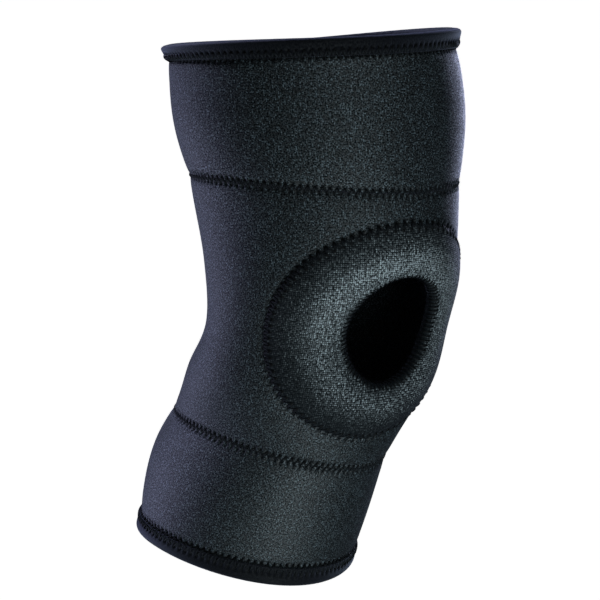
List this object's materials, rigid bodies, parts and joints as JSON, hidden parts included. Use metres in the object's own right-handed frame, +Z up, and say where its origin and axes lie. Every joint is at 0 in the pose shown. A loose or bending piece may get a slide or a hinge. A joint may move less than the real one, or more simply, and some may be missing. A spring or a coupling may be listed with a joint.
{
  "type": "knee compression sleeve",
  "caption": "Bent tube of stretch neoprene that grips the knee, with a raised ring pad round an open kneecap, zigzag seams and knitted tape over each end.",
  "frame": {"origin": "on the leg's axis inside the sleeve, level with the middle of the kneecap opening", "axes": "+Z up towards the thigh, -Y out through the kneecap opening, +X to the side where the two seams sit a few millimetres lower"},
  "size_m": [0.1479, 0.2154, 0.289],
  "materials": {
    "panel_knit": "matte charcoal knit face on neoprene",
    "pad_knit": "matte tight grid knit",
    "binding_tape": "matte black ribbed tape"
  },
  "bodies": {
    "root": {"top_binding": "binding_tape", "thigh_panel": "panel_knit", "knee_panel": "panel_knit", "patella_pad": "pad_knit", "calf_panel": "panel_knit", "bottom_binding": "binding_tape"}
  },
  "joints": []
}
